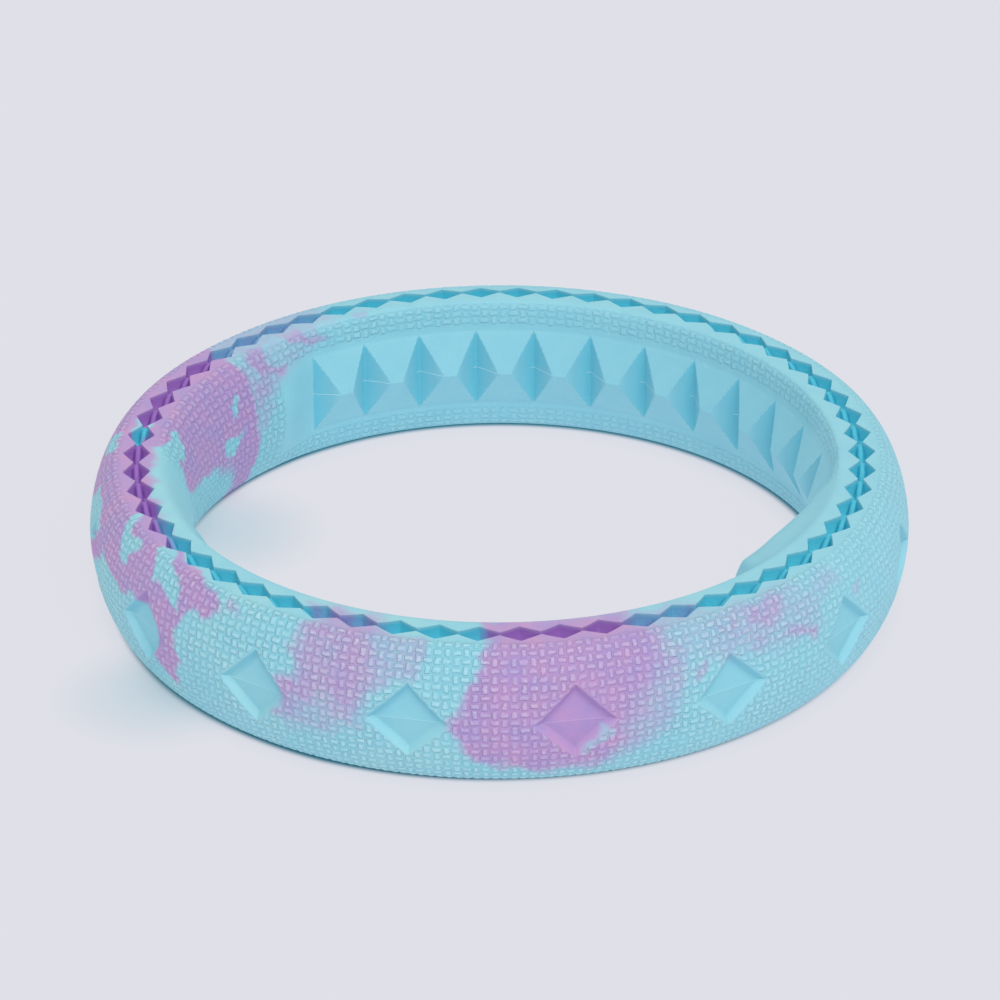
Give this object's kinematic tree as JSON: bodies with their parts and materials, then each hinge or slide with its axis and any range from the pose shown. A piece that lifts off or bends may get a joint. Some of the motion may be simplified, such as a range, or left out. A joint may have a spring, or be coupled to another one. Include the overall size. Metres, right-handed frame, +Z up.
{
  "type": "dog ring toy",
  "caption": "Flat-lying closed-cell foam ring for pulling and fetching, with diamond pits on its crown, diamond pockets outside and pyramid teeth inside.",
  "frame": {"origin": "on the ring's axis, at the surface that the ring lies on", "axes": "+Z up along the ring's axis; -Y is the front, which faces the picture's camera; +X is its right-hand side"},
  "size_m": [0.28, 0.28, 0.05],
  "materials": {
    "marbled_foam": "matte moulded closed-cell foam, sky blue marbled with lilac, with a woven-cloth relief",
    "bond_line": "paler skin of the foam at the joint"
  },
  "bodies": {
    "root": {"upper_ring_half": "marbled_foam", "lower_ring_half": "marbled_foam", "bond_line": "bond_line"}
  },
  "joints": []
}
